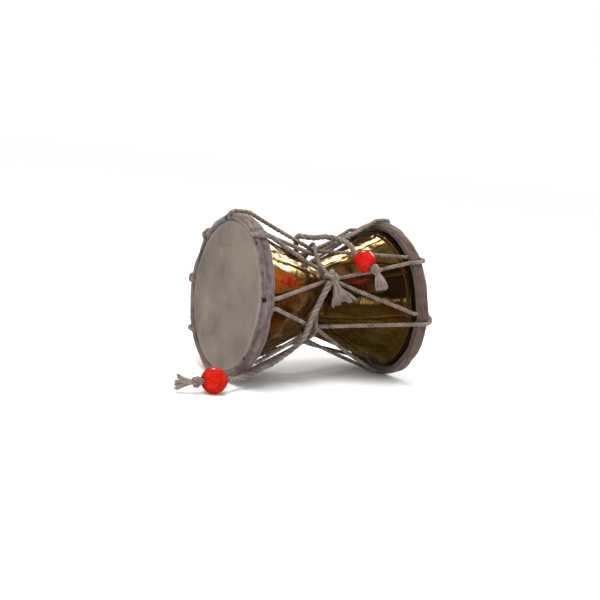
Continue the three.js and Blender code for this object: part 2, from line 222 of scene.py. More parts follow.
PLY_GROOVE = 0.3
THICK_AND_THIN = 0.07


def laid_cord(route, radius, plies, lay, sides, closed=False, seed=1):
    """A cord of twisted plies: rounded lobes with a groove between each two, turning once in
    each lay, a little thicker and thinner along its length."""
    angles = np.arange(sides) * 2 * math.pi / sides
    lobes = np.abs(np.cos(0.5 * plies * angles)) ** 0.8
    outline = 1 - PLY_GROOVE + PLY_GROOVE * lobes
    places = np.arange(len(route)) * float(np.linalg.norm(route[1] - route[0]))
    uneven = np.array([noise.noise(Vector((0.35 * place, 7.3 * seed, 0.5))) for place in places])
    if closed:
        uneven *= np.sin(np.arange(len(route)) * math.pi / len(route)) ** 0.2
    radii = radius * (1 + THICK_AND_THIN * uneven)
    verts, faces = tube(route, radii, outline, 2 * math.pi / lay, closed)
    hollows = np.zeros(len(verts))
    hollows[: len(route) * sides] = np.tile((1 - lobes) ** 1.5, len(route))
    return verts, faces, hollows


def merged(parts):
    """Several (points, faces, hollows) as one."""
    verts, faces, hollows, start = [], [], [], 0
    for part_verts, part_faces, part_hollows in parts:
        verts.append(np.array(part_verts, float))
        faces += [tuple(start + index for index in face) for face in part_faces]
        hollows.append(part_hollows)
        start += len(part_verts)
    return np.vstack(verts), faces, np.concatenate(hollows)


def add_piece(name, shape, material, node_name):
    """A new object from millimetre points, faces and, for a material with painted shade in hollows,
    how hollow each point lies. It rides on the drum in place of a CAD node."""
    verts, faces = shape[:2]
    mesh = bpy.data.meshes.new(name)
    mesh.from_pydata((np.array(verts) * MM).tolist(), [], faces)
    mesh.polygons.foreach_set("use_smooth", [True] * len(mesh.polygons))
    mesh.materials.append(material)
    if len(shape) > 2:
        hollow = mesh.attributes.new("hollow", "FLOAT", "POINT")
        hollow.data.foreach_set("value", np.array(shape[2], float))
    piece = bpy.data.objects.new(name, mesh)
    bpy.context.scene.collection.objects.link(piece)
    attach(piece, "root")
    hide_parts(node_name)
    return piece


KNOT_LAY = 6.0


def overhand_knot(centre, size, along, cord_radius):
    """A tight knot in three-ply cord, its cord's outside within the size from the centre."""
    along = unit(along)
    sideways = unit(np.cross(along, (0.2, 0.9, 0.3)))
    upward = np.cross(along, sideways)
    turns = np.linspace(0, 2 * math.pi, 36, endpoint=False)
    across = [s - 0.85 * cord_radius for s in size]
    points = [
        np.array(centre)
        + sideways * across[0] * (math.sin(t) + 2 * math.sin(2 * t)) / 3
        + upward * across[1] * (math.cos(t) - 2 * math.cos(2 * t)) / 3
        - along * across[2] * math.sin(3 * t)
        for t in turns
    ]
    route = smooth_route(points, 0.35, closed=True)
    return laid_cord(route, cord_radius, 3, KNOT_LAY, 15, closed=True)


FIBRE_RADII = (0.27, 0.19)
FIBRE_POINT = 0.06
FIBRE_SIDES = 5


def frayed_end(rows, across, clumps, fibres, seed):
    """The untwisted end of a cord: fibres that lie in clumps and fan out over rows of (centre,
    half width, half thickness)."""
    rng = random.Random(seed)
    across = unit(across)
    centres = from_floor([row[0] for row in rows])
    parts = []
    for clump in range(clumps):
        clump_place = (2 * clump + 1) / clumps - 1 + rng.uniform(-0.1, 0.1)
        clump_depth = rng.uniform(-0.6, 0.6)
        clump_reach = rng.uniform(0.9, 1.0)
        for _ in range(fibres // clumps):
            place = clump_place + rng.gauss(0, 0.5 / clumps)
            depth = clump_depth + rng.gauss(0, 0.3)
            reach = clump_reach * rng.uniform(0.86, 1.0)
            lift = rng.uniform(0, 2 * math.pi)
            points = []
            for i, (_, half_width, half_thickness) in enumerate(rows):
                before, after = max(i - 1, 0), min(i + 1, len(rows) - 1)
                thick = unit(np.cross(across, centres[after] - centres[before]))
                loose = 0.12 * i
                wave = across * math.sin(1.9 * i + lift) + thick * math.cos(2.3 * i + lift)
                sideways = min(max(place, -1.1), 1.1) * half_width
                outward = min(max(depth, -1.0), 1.0) * half_thickness
                points.append(centres[i] + across * sideways + thick * outward + loose * wave)
            route = smooth_route(points, 0.8)
            route = route[: max(int(len(route) * reach), 5)]
            thinning = np.linspace(*FIBRE_RADII, len(route))
            thinning[-1] = FIBRE_POINT
            verts, faces = tube(route, thinning, [1.0] * FIBRE_SIDES)
            parts.append((verts, faces, np.full(len(verts), rng.uniform(0, 0.7))))
    return merged(parts)


def add_node(tree, kind, inputs=None, **settings):
    """A shader node, its inputs given as plain values or as the sockets that feed them."""
    made = tree.nodes.new(kind)
    for key, value in settings.items():
        setattr(made, key, value)
    for key, value in (inputs or {}).items():
        if isinstance(value, bpy.types.NodeSocket):
            tree.links.new(value, made.inputs[key])
        else:
            made.inputs[key].default_value = value
    return made


def ramp(tree, value, stops):
    """A colour that changes with a value, through (place, colour) stops."""
    made = add_node(tree, "ShaderNodeValToRGB", {"Fac": value})
    made.color_ramp.elements.remove(made.color_ramp.elements[1])
    made.color_ramp.elements[0].position = stops[0][0]
    made.color_ramp.elements[0].color = (*stops[0][1], 1.0)
    for place, colour in stops[1:]:
        made.color_ramp.elements.new(place).color = (*colour, 1.0)
    return made.outputs["Color"]


def spread(tree, value, low, high, to_low, to_high):
    """A value's range stretched to another, and held there."""
    places = {"Value": value, 1: low, 2: high, 3: to_low, 4: to_high}
    return add_node(tree, "ShaderNodeMapRange", places).outputs["Result"]


def blend_colours(tree, share, first, second):
    """The first colour with a share of the second in it."""
    inputs = {"Factor": share, "A": first, "B": second}
    made = add_node(tree, "ShaderNodeMix", data_type="RGBA")
    for key, value in inputs.items():
        socket = next(s for s in made.inputs if s.name == key and s.enabled)
        if isinstance(value, bpy.types.NodeSocket):
            tree.links.new(value, socket)
        else:
            socket.default_value = value if key == "Factor" else (*value, 1.0)
    return next(s for s in made.outputs if s.enabled)


def new_group(name, inputs, outputs):
    """An empty shader group with named number inputs and outputs."""
    made = bpy.data.node_groups.new(name, "ShaderNodeTree")
    for label, value in inputs.items():
        socket = made.interface.new_socket(
            label, in_out="INPUT", socket_type="NodeSocketFloat"
        )
        socket.default_value = value
    for label in outputs:
        made.interface.new_socket(label, in_out="OUTPUT", socket_type="NodeSocketFloat")
    return made, made.nodes.new("NodeGroupInput"), made.nodes.new("NodeGroupOutput")


def new_material(name, **surface):
    """A material with one Principled surface, its plain values set here."""
    made = bpy.data.materials.new(name)
    made.use_nodes = True
    principled = made.node_tree.nodes["Principled BSDF"]
    for key, value in surface.items():
        principled.inputs[key.replace("_", " ")].default_value = value
    return made, made.node_tree, principled


def raise_by(tree, surface, height, strength, distance):
    """Fine relief on a surface, up to a distance in metres."""
    bump = {"Strength": strength, "Distance": distance, "Height": height}
    made = add_node(tree, "ShaderNodeBump", bump)
    tree.links.new(made.outputs["Normal"], surface.inputs["Normal"])


# Cotton fibre, for every cord and cloth: short hairs on top, and slow soft unevenness below
fibre_group, fibre_in, fibre_out = new_group(
    "cotton_fibre", {"Hair size": 0.4, "Patch size": 5.0}, ["Height", "Shade"]
)
fibre_place = add_node(fibre_group, "ShaderNodeTexCoord").outputs["Object"]


def per_metre(tree, size_mm):
    """The texture scale of a size in millimetres."""
    return add_node(tree, "ShaderNodeMath", {0: 1000.0, 1: size_mm}, operation="DIVIDE").outputs[0]


fibre_hairs = add_node(
    fibre_group,
    "ShaderNodeTexNoise",
    {
        "Vector": fibre_place,
        "Scale": per_metre(fibre_group, fibre_in.outputs["Hair size"]),
        "Detail": 3.0,
        "Roughness": 0.65,
    },
)
fibre_patches = add_node(
    fibre_group,
    "ShaderNodeTexNoise",
    {
        "Vector": fibre_place,
        "Scale": per_metre(fibre_group, fibre_in.outputs["Patch size"]),
        "Detail": 5.0,
        "Roughness": 0.6,
    },
)
fibre_height = add_node(
    fibre_group,
    "ShaderNodeMath",
    {0: fibre_hairs.outputs["Fac"], 1: 0.6, 2: fibre_patches.outputs["Fac"]},
    operation="MULTIPLY_ADD",
)
fibre_group.links.new(fibre_height.outputs[0], fibre_out.inputs["Height"])
fibre_group.links.new(fibre_patches.outputs["Fac"], fibre_out.inputs["Shade"])


# Painted shade in the hollows of a cord's lay and of a cloth's folds, and on each loose fibre a
# darker tone given at random
shade_tone_group, shade_tone_in, shade_tone_out = new_group(
    "shade_in_hollows_and_fibre_tone", {"Full at": 1.0, "Most": 0.7}, ["Dirt"]
)
hollow_value = add_node(shade_tone_group, "ShaderNodeAttribute", attribute_name="hollow").outputs["Fac"]
darken_full, darken_most = shade_tone_in.outputs["Full at"], shade_tone_in.outputs["Most"]
# painted shade: the deeper a point lies in a hollow, the darker; on a loose fibre the value is a
# random darker tone
darken_share = spread(shade_tone_group, hollow_value, 0.1, darken_full, 0.0, darken_most)
shade_tone_group.links.new(darken_share, shade_tone_out.inputs["Dirt"])


def cotton(name, dark, middle, light):
    """Undyed cotton cord, with painted shade in the hollows of its lay, and loose fibres a random
    tone darker.
    """
    made, tree, surface = new_material(
        name, Roughness=0.9, Sheen_Weight=0.2, Sheen_Roughness=0.5
    )
    fibre = add_node(tree, "ShaderNodeGroup", node_tree=fibre_group)
    shade = ramp(tree, fibre.outputs["Shade"], [(0.32, dark), (0.5, middle), (0.68, light)])
    # painted shade in the hollows of the lay, towards a third of the dark tone; loose fibres a
    # random tone darker
    hollow_shade = add_node(
        tree, "ShaderNodeGroup", {"Full at": 0.9, "Most": 0.65}, node_tree=shade_tone_group
    ).outputs["Dirt"]
    shade = blend_colours(tree, hollow_shade, shade, tuple(0.3 * tone for tone in dark))
    tree.links.new(shade, surface.inputs["Base Color"])
    raise_by(tree, surface, fibre.outputs["Height"], 0.6, 0.0002)
    return made


beater_cotton = cotton(
    "beater_cotton", (0.11, 0.08, 0.065), (0.19, 0.14, 0.115), (0.27, 0.21, 0.18)
)
frayed_cotton = cotton(
    "frayed_cotton", (0.19, 0.145, 0.12), (0.28, 0.22, 0.19), (0.38, 0.32, 0.285)
)

beater_cords = {}
for name, points in (("beater_1", BEATER_1_ROUTE), ("beater_2", BEATER_2_ROUTE)):
    route = smooth_route(from_floor(points), 0.5)
    shape = laid_cord(route, BEATER_RADIUS, 3, BEATER_LAY, 24, seed=len(points))
    beater_cords[name] = route
    add_piece(name + "_laid_cord", shape, beater_cotton, name + "_cord")

# ---------------------------------------------------------------------------------------------
# Beads: glossy balls of bright red plastic, one on each beater, bored through with the edges of
# the bore rounded. The cord fills the bore, and the knot outside keeps the bead on.
BEAD_BORE = 1.75
BEAD_LIP = 0.35
BEAD_SIDES = 96
BEAD_RINGS = 40


def bored_ball(centre, radius, along):
    """A ball with a rounded hole through it, turned about the way that the cord runs."""
    along = unit(along)
    sideways = unit(np.cross(along, (0.2, 0.4, 0.9)))
    upward = np.cross(along, sideways)
    lip_end = math.asin((BEAD_BORE + BEAD_LIP) / radius)
    profile = [
        (radius * math.cos(turn), radius * math.sin(turn))
        for turn in np.linspace(lip_end, math.pi - lip_end, BEAD_RINGS)
    ]
    face = radius * math.cos(lip_end)
    rounding = [
        (math.sin(turn) * BEAD_LIP, BEAD_BORE + BEAD_LIP * (1 - math.cos(turn)))
        for turn in np.linspace(math.pi / 2 - 0.25, 0, 6)
    ]
    start = [(face - BEAD_LIP + x, reach) for x, reach in rounding]
    profile = [(x, reach) for x, reach in reversed(start)] + profile
    profile += [(-x, reach) for x, reach in start]
    verts = []
    for x, reach in profile:
        for k in range(BEAD_SIDES):
            turn = 2 * math.pi * k / BEAD_SIDES
            out = sideways * math.cos(turn) + upward * math.sin(turn)
            verts.append(np.array(centre) + along * x + out * reach)
    faces = []
    for i in range(len(profile)):
        this, following = i * BEAD_SIDES, ((i + 1) % len(profile)) * BEAD_SIDES
        for k in range(BEAD_SIDES):
            side = (k + 1) % BEAD_SIDES
            faces.append((this + k, following + k, following + side, this + side))
    return verts, faces


bead_red, tree, surface = new_material(
    "bead_red",
    Roughness=0.2,
    IOR=1.5,
    Coat_Weight=0.8,
    Coat_Roughness=0.04,
)
place = add_node(tree, "ShaderNodeTexCoord").outputs["Object"]
clouds = add_node(
    tree, "ShaderNodeTexNoise", {"Vector": place, "Scale": 260.0, "Detail": 3.0}
).outputs["Fac"]
reds = [(0.3, (0.36, 0.003, 0.001)), (0.52, (0.48, 0.005, 0.001)), (0.72, (0.6, 0.014, 0.002))]
tree.links.new(ramp(tree, clouds, reds), surface.inputs["Base Color"])
scuffs = add_node(
    tree, "ShaderNodeTexNoise", {"Vector": place, "Scale": 1300.0, "Detail": 5.0}
).outputs["Fac"]
tree.links.new(spread(tree, scuffs, 0.35, 0.7, 0.12, 0.34), surface.inputs["Roughness"])
raise_by(tree, surface, clouds, 0.12, 0.0004)

# Each bead: its middle, its radius and which way its knot lies
BEADS = {
    "beater_1": ((-66.0, -33.0, 6.4), 6.4, (-1.0, -0.03, -0.03)),
    "beater_2": ((15.0, -27.5, 64.8), 5.7, (0.3, -0.87, -0.39)),
}
for name, (centre, radius, to_knot) in BEADS.items():
    shape = bored_ball(from_floor([centre])[0], radius, to_knot)
    add_piece(name + "_glazed_bead", shape, bead_red, name + "_bead")

# ---------------------------------------------------------------------------------------------
# Beater ends: the cord is knotted hard against the outside of its bead and its end teased out
# into a tassel. The three pieces are one beater.
END_CORD_RADIUS = 1.3
# Each knot: its middle, and how far it reaches sideways, up and along the cord
END_KNOTS = {
    "beater_1": ((-75.2, -33.3, 6.1), (2.9, 3.0, 2.5)),
    "beater_2": ((17.6, -34.9, 61.5), (2.7, 2.7, 2.4)),
}
# Each tassel: which way it spreads, and its rows of (centre, half width, half thickness)
END_TASSELS = {
    "beater_1": ((0.2, 0.25, 0.9), [
        ((-74.6, -33.2, 6.1), 0.9, 0.9),
        ((-77.9, -32.3, 5.7), 1.3, 1.2),
        ((-79.9, -31.2, 5.3), 1.9, 1.2),
        ((-82.2, -29.8, 4.9), 3.4, 1.2),
        ((-85.2, -28.0, 5.0), 5.0, 1.1),
    ]),
    "beater_2": ((0.85, -0.1, 0.15), [
        ((17.4, -34.8, 62.0), 0.9, 0.9),
        ((18.9, -35.7, 58.7), 1.3, 1.0),
        ((20.0, -35.9, 56.7), 2.1, 1.0),
        ((21.2, -35.7, 53.9), 2.9, 1.0),
        ((22.8, -35.7, 50.3), 3.3, 0.9),
    ]),
}
for name, route in beater_cords.items():
    centre, size = END_KNOTS[name]
    across, rows = END_TASSELS[name]
    knot = overhand_knot(from_floor([centre])[0], size, BEADS[name][2], END_CORD_RADIUS)
    tassel = frayed_end(rows, across, 7, 140, seed=len(route))
    end = add_piece(
        name + "_tied_end", merged([knot, tassel]), beater_cotton, name + "_knot"
    )
    end.data.materials.append(frayed_cotton)
    knot_faces = len(knot[1])
    for polygon in end.data.polygons[knot_faces:]:
        polygon.material_index = 1

# ---------------------------------------------------------------------------------------------
# Brass body: two cones of thin sheet brass spun to one narrow waist, each with a rolled bead and
# a short collar at its mouth for the skin, polished by hand and a little dented and tarnished.
WAIST_RADIUS = 18.0
WAIST_ROUNDING = 3.0
CONE_SLOPE = 0.447
MOUTH_AT = 44.0
BRASS_WALL = 1.3
BRASS_SIDES = 216
ROLL_AT = 40.9
ROLL_HALF_WIDTH = 1.1
ROLL_HEIGHT = 0.7
LEFT_LEAN = math.tan(math.radians(2.6))
RIGHT_LEAN = math.tan(math.radians(-4.8))
LEAN_FULL_AT = 40.0


def on_drum(x, angle, radius):
    """A point from its place along the axis, its angle from the near side and its radius."""
    turn = math.radians(angle)
    return (x, -radius * math.cos(turn), radius * math.sin(turn))


def placed(points):
    """Points given from the drum's axis, leaned with the drum's ends and lifted on to the floor."""
    points = np.array(points, float)
    share = np.minimum(np.abs(points[:, 0]) / LEAN_FULL_AT, 1) ** 2
    lean = np.where(points[:, 0] < 0, LEFT_LEAN, RIGHT_LEAN)
    moved = points.copy()
    moved[:, 0] += lean * share * points[:, 2] + CENTRE_SHIFT
    moved[:, 2] += AXIS_HEIGHT
    return moved


def turned(profile, sides, unevenness):
    """A closed profile of (x, radius) turned round the drum's axis. The unevenness gives how far
    out each point stands from its x, its angle and its radius."""
    verts = []
    for x, radius in profile:
        for k in range(sides):
            angle = 360.0 * k / sides
            verts.append(on_drum(x, angle, radius + unevenness(x, angle, radius)))
    faces = []
    for i in range(len(profile)):
        this, following = i * sides, ((i + 1) % len(profile)) * sides
        for k in range(sides):
            side = (k + 1) % sides
            faces.append((this + k, this + side, following + side, following + k))
    return placed(verts), faces


def cone_radius(x):
    """The brass's outside: a narrow round waist, straight cones, and a rolled bead near each
    mouth."""
    rounded = math.hypot(x, WAIST_ROUNDING) - WAIST_ROUNDING
    from_roll = abs(abs(x) - ROLL_AT) / ROLL_HALF_WIDTH
    roll = ROLL_HEIGHT * math.sqrt(1 - from_roll**2) if from_roll < 1 else 0.0
    return WAIST_RADIUS + CONE_SLOPE * rounded + roll


def brass_unevenness(x, angle, radius):
    """Shallow hammer dents and the ridges that the spinning tool leaves."""
    y, z = on_drum(x, angle, radius)[1:]
    dents = noise.noise(Vector((x, y, z)) / 11.0) * 0.3
    dents += noise.noise(Vector((x + 40, y, z)) / 4.8) * 0.19
    dents += noise.noise(Vector((x, y + 40, z)) / 2.7) * 0.06
    ripple = noise.noise(Vector((x / 1.6, y / 60.0, z / 60.0))) * 0.03
    share = min(max((MOUTH_AT - abs(x)) / 4.0, 0.0), 1.0)
    return (dents + ripple) * share


to_roll = list(np.linspace(0, ROLL_AT - ROLL_HALF_WIDTH, 62)[1:])
over_roll = [ROLL_AT - ROLL_HALF_WIDTH * math.cos(t) for t in np.linspace(0, math.pi, 12)[1:]]
outer_half = [(x, cone_radius(x)) for x in to_roll + over_roll]
outer_half += [(MOUTH_AT, 36.4), (44.5, 36.8), (45.2, 37.3), (45.8, 37.4)]
outer_half += [(46.9, 37.4), (47.2, 37.1)]
inner_half = [(47.2, 36.4), (46.9, 36.1), (45.7, 36.1), (43.4, 34.8)]
inner_half += [(x, cone_radius(x) - BRASS_WALL) for x in np.linspace(39.0, 1.5, 24)]
outside = [(-x, radius) for x, radius in reversed(outer_half)]
outside += [(0.0, WAIST_RADIUS)] + outer_half
inside = inner_half + [(0.0, WAIST_RADIUS - BRASS_WALL)]
inside += [(-x, radius) for x, radius in reversed(inner_half)]

# Mottling, for the brass, the skins and the cloth: broad patches, and finer blotches within them
mottle_group, mottle_in, mottle_out = new_group(
    "mottling", {"Patch size": 20.0, "Blotch size": 3.0, "Along axis": 1.0}, ["Patches", "Blotches"]
)
mottle_place = add_node(mottle_group, "ShaderNodeTexCoord").outputs["Object"]
mottle_stretch = add_node(
    mottle_group, "ShaderNodeCombineXYZ", {"X": mottle_in.outputs["Along axis"], "Y": 1.0, "Z": 1.0}
)
mottle_place = add_node(
    mottle_group,
    "ShaderNodeVectorMath",
    {0: mottle_place, 1: mottle_stretch.outputs[0]},
    operation="MULTIPLY",
).outputs[0]
for size_name, output_name, roughness in (
    ("Patch size", "Patches", 0.5),
    ("Blotch size", "Blotches", 0.65),
):
    pattern = add_node(
        mottle_group,
        "ShaderNodeTexNoise",
        {
            "Vector": mottle_place,
            "Scale": per_metre(mottle_group, mottle_in.outputs[size_name]),
            "Detail": 4.0,
            "Roughness": roughness,
        },
    )
    mottle_group.links.new(pattern.outputs["Fac"], mottle_out.inputs[output_name])

polished_brass, tree, surface = new_material(
    "polished_brass", Metallic=1.0, Roughness=0.14, Coat_Weight=0.7, Coat_Roughness=0.06
)
tarnish = add_node(
    tree,
    "ShaderNodeGroup",
    {"Patch size": 16.0, "Blotch size": 2.2, "Along axis": 1.0},
    node_tree=mottle_group,
)
warm = ramp(
    tree,
    tarnish.outputs["Patches"],
    [(0.32, (0.5, 0.27, 0.07)), (0.5, (0.68, 0.42, 0.13)), (0.66, (0.76, 0.54, 0.22))],
)
stained = spread(tree, tarnish.outputs["Blotches"], 0.56, 0.72, 0.0, 0.55)
body_colour = blend_colours(tree, stained, warm, (0.3, 0.17, 0.06))
tree.links.new(body_colour, surface.inputs["Base Color"])
polishing = add_node(
    tree,
    "ShaderNodeGroup",
    {"Patch size": 6.0, "Blotch size": 2.0, "Along axis": 9.0},
    node_tree=mottle_group,
)
tree.links.new(
    spread(tree, polishing.outputs["Blotches"], 0.3, 0.75, 0.07, 0.22), surface.inputs["Roughness"]
)
raise_by(tree, surface, polishing.outputs["Patches"], 0.22, 0.0004)

body = turned(outside + inside, BRASS_SIDES, brass_unevenness)
add_piece("spun_brass_body", body, polished_brass, "brass_body")

# ---------------------------------------------------------------------------------------------
# Skins: thin scraped parchment, wetted, drawn over each mouth and turned back round the collar,
# so that its face is flat, its edge rounded, and its colour patchy.
SKIN_FACE = 48.2
SKIN_RADIUS = 38.4
SKIN_THICKNESS = 0.7
SKIN_ROUNDING = 1.6
SKIRT_END = 44.8
SKIN_SIDES = 180
WORN_FROM = 35.5
WORN_FULL_AT = 37.2


def skin_unevenness(x, angle, radius):
    """How far the turned edge stands out; the face itself is drawn flat."""
    y, z = on_drum(x, angle, radius)[1:]
    return 0.1 * noise.noise(Vector((x, y, z)) / 5.0) if abs(x) < SKIN_FACE else 0.0


skin_edge = [
    (
        SKIN_FACE - SKIN_ROUNDING * (1 - math.cos(t)),
        SKIN_RADIUS - SKIN_ROUNDING * (1 - math.sin(t)),
    )
    for t in np.linspace(math.pi / 2, 0, 9)
]
SKIN_INNER = SKIN_RADIUS - SKIN_THICKNESS
SKIN_BACK = SKIN_FACE - SKIN_THICKNESS
skin_profile = [(SKIN_BACK, reach) for reach in (0.02, 12.0, 24.0, SKIN_INNER - 0.1)]
skin_profile += [(SKIN_BACK - 0.4, SKIN_INNER), (SKIRT_END, SKIN_INNER)]
skin_profile += [(SKIRT_END, SKIN_RADIUS - 0.1), (SKIRT_END + 1.2, SKIN_RADIUS)]
skin_profile += skin_edge
skin_profile += [(SKIN_FACE, reach) for reach in np.linspace(SKIN_RADIUS - 2.0, 0.02, 34)]

parchment, tree, surface = new_material(
    "parchment", Roughness=0.62, Subsurface_Weight=0.08, Subsurface_Scale=0.001
)
mottle = add_node(
    tree,
    "ShaderNodeGroup",
    {"Patch size": 26.0, "Blotch size": 4.0},
    node_tree=mottle_group,
)
tones = ramp(
    tree,
    mottle.outputs["Patches"],
    [(0.34, (0.135, 0.113, 0.1)), (0.5, (0.172, 0.146, 0.122)), (0.66, (0.215, 0.178, 0.138))],
)
from_axis = add_node(tree, "ShaderNodeTexCoord").outputs["Object"]
from_axis = add_node(
    tree,
    "ShaderNodeVectorMath",
    {0: from_axis, 1: (0.0, 0.0, AXIS_HEIGHT * MM)},
    operation="SUBTRACT",
).outputs[0]
from_axis = add_node(
    tree, "ShaderNodeVectorMath", {0: from_axis, 1: (0.0, 1.0, 1.0)}, operation="MULTIPLY"
).outputs[0]
from_axis = add_node(
    tree, "ShaderNodeVectorMath", {0: from_axis}, operation="LENGTH"
).outputs["Value"]
worn_edge = spread(tree, from_axis, WORN_FROM * MM, WORN_FULL_AT * MM, 0.0, 0.5)
tones = blend_colours(tree, worn_edge, tones, (0.3, 0.245, 0.21))
flecks = spread(tree, mottle.outputs["Blotches"], 0.45, 0.75, 0.0, 0.35)
tones = blend_colours(tree, flecks, tones, (0.24, 0.205, 0.175))
tree.links.new(tones, surface.inputs["Base Color"])
grain = add_node(
    tree, "ShaderNodeGroup", {"Hair size": 0.7, "Patch size": 3.0}, node_tree=fibre_group
)
tree.links.new(
    spread(tree, mottle.outputs["Blotches"], 0.3, 0.7, 0.5, 0.72), surface.inputs["Roughness"]
)
raise_by(tree, surface, grain.outputs["Height"], 0.25, 0.0002)

for name, side in (("left", -1), ("right", 1)):
    profile = [(side * x, radius) for x, radius in skin_profile]
    if side > 0:
        profile.reverse()
    skin = turned(profile[::-1], SKIN_SIDES, skin_unevenness)
    add_piece(name + "_parchment", skin, parchment, name + "_skin")

# ---------------------------------------------------------------------------------------------
# Lacing: one thin two-ply cotton cord, laced to and fro between the hoops in two rounds, over
# each hoop and back through a hole in its wrap, and drawn together in pairs at the waist.
LACE_RADIUS = 1.1
LACE_LAY = 5.2
HOOP_CENTRE = 45.5
CROSSING_RISE = 2.0
STRAND_STEP = 5.0
CONE_RISE = 18.4
BRASS_CLEARANCE = 0.3
# Each loop: its angle round the hoop, half its spread, and whether it is tucked in the wrap
LOOPS = {
    -1: [
        (-53.25, 8.75, True),
        (4, 3.5, True),
        (54.5, 3.5, False),
        (94, 3.5, False),
        (138, 3.5, False),
        (176, 3.5, False),
        (214, 3.5, False),
        (256, 3.5, True),
    ],
    1: [
        (-87, 3.5, True),
        (-5.5, 3.5, False),
        (38.3, 3.5, False),
        (91, 3.5, False),
        (129, 3.5, False),
        (166, 3.5, False),
        (203, 3.5, False),
        (240, 3.5, True),
    ],
}
# A loop's route as (out from the hoop's middle, radius, share of the spread)
OVER_LOOP = [
    (-5.3, 42.3, -1.0),
    (-3.6, 42.6, -1.0),
    (-1.0, 42.8, -0.95),
    (1.8, 42.8, -0.8),
    (3.5, 42.4, -0.5),
    (4.3, 41.5, -0.1),
    (4.2, 40.5, 0.35),
    (2.8, 39.9, 0.65),
    (0.5, 39.8, 0.85),
    (-2.5, 39.8, 0.97),
    (-5.3, 39.6, 1.0),
]
TUCKED_LOOP = [
    (-5.3, 39.6, -1.0),
    (-2.6, 39.8, -0.95),
    (-1.0, 39.9, -0.55),
    (-0.4, 39.9, 0.0),
    (-1.0, 39.9, 0.55),
    (-2.6, 39.8, 0.95),
    (-5.3, 39.6, 1.0),
]
# Gathers at the waist, one between each pair of neighbouring loops: (x, angle, inner radius)
GATHERS = [
    (-2.8, -38, 20.7),
    (0.5, 33.5, 20.6),
    (0, 86, 22.8),
    (0, 120, 22.3),
    (0, 158, 22.3),
    (0, 194, 22.3),
    (0, 232, 22.3),
    (-0.5, 272, 22.2),
]
# The gather whose strands are drawn in once more beyond it, and the place where they are
DRAWN_IN_AT = (1, (-2.5, 51.5, 20.6))


def loop_points(side, index):
    """A loop from its end over the hoop to its end under it."""
    angle, half_spread, tucked = LOOPS[side][index]
    return [
        on_drum(side * (HOOP_CENTRE + out), angle + share * half_spread, radius)
        for out, radius, share in (TUCKED_LOOP if tucked else OVER_LOOP)
    ]


def strand_points(start, end):
    """A taut length, pushed out wherever it would touch the brass, without its two ends."""
    start, end = np.array(start), np.array(end)
    count = max(int(np.linalg.norm(end - start) / STRAND_STEP), 2)
    points = []
    for i in range(1, count):
        point = start + (end - start) * i / count
        brass = WAIST_RADIUS + CONE_RISE * min(abs(point[0]) / MOUTH_AT, 1)
        least = brass + LACE_RADIUS + BRASS_CLEARANCE
        radius = math.hypot(point[1], point[2])
        if radius < least:
            point[1:] *= least / radius
        points.append(tuple(point))
    return points


def lacing_round(first_side):
    """One closed round of the lacing, which takes every other loop of each hoop."""
    points = []
    side = first_side
    for gather, (x, angle, radius) in enumerate(GATHERS):
        following = (gather + 1) % len(GATHERS)
        outer = side > 0
        middle = on_drum(x, angle, radius + (CROSSING_RISE if outer else 0.0))
        loop = loop_points(side, gather)
        next_start = loop_points(-side, following)[0]
        points += loop + strand_points(loop[-1], middle) + [middle]
        if outer and gather == DRAWN_IN_AT[0]:
            drawn = on_drum(*DRAWN_IN_AT[1])
            points += [drawn] + strand_points(drawn, next_start)
        else:
            points += strand_points(middle, next_start)
        side = -side
    return placed(points)


lace_cotton = cotton(
    "lace_cotton", (0.11, 0.08, 0.062), (0.19, 0.145, 0.115), (0.28, 0.225, 0.185)
)
rounds = []
for first_side in (-1, 1):
    route = smooth_route(lacing_round(first_side), 0.55, closed=True)
    rounds.append(laid_cord(route, LACE_RADIUS, 2, LACE_LAY, 14, closed=True, seed=first_side + 4))
add_piece("laced_cord", merged(rounds), lace_cotton, "lacing")

# ---------------------------------------------------------------------------------------------
# Hoops: a stiff ring round each skin, bound lengthwise in one strip of soft grey-mauve cotton,
# which is creased along its length, lapped at the top, pulled in by the lacing and holed by it.
HOOP_OUTSIDE = 42.0
HOOP_HALF_WIDTH = 3.5
HOOP_MIDDLE_RADIUS = 40.35
HOOP_HALF_THICKNESS = 1.65
HOOP_SIDES = 540
SECTION_SIDES = 44
SECTION_SQUARENESS = 3.2
CREASE_DEPTH = 0.75
FINE_CREASE_DEPTH = 0.12
LUMP_HEIGHT = 0.35
LAP_HEIGHT = 0.35
LAP_EDGE_DEGREES = 1.2
SIDEWAYS_WANDER = 0.35
HOOP_FACET = 0.3
MOST_FACET = 2.6
INSIDE_MOST = 0.15
HOLE_DEPTH = 0.8
HOLE_REACH = 4.0
HOLE_CIRCLE = 40.0
LACING_BED = 0.97
BEDDED_FROM = 40.9
CLOTH_ROUND = 18.0
# Holes in the wrap by the skin: (angle, radius, how wide)
HOOP_HOLES = {
    -1: [
        (102, 39.8, 1.3),
        (53, 39.8, 1.3),
        (48, 39.8, 1.1),
        (6, 39.7, 1.4),
        (-40, 39.1, 1.0),
        (-53, 39.1, 1.2),
    ],
    1: [(40, 39.2, 1.3), (88, 39.2, 1.2), (-8, 39.1, 1.2), (-60, 39.1, 1.0)],
}
# Where the strip's two ends lap, from one angle to the other
LAPS = {-1: (59, 103), 1: (66, 97)}


def ease(value):
    """0 below 0, 1 above 1, and smooth between."""
    value = min(max(value, 0.0), 1.0)
    return value * value * (3 - 2 * value)


def facet(side, angle):
    """How far the ring is drawn in between two loops, towards a straight side."""
    angles = sorted(a % 360 for a, _, _ in LOOPS[side])
    for i, start in enumerate(angles):
        end = angles[(i + 1) % len(angles)] + (360 if i + 1 == len(angles) else 0)
        for place in (angle % 360, angle % 360 + 360):
            if start <= place <= end:
                half = math.radians(end - start) / 2
                off = math.radians(place - (start + end) / 2)
                return HOOP_OUTSIDE * (1 - math.cos(half) / math.cos(off))
    return 0.0


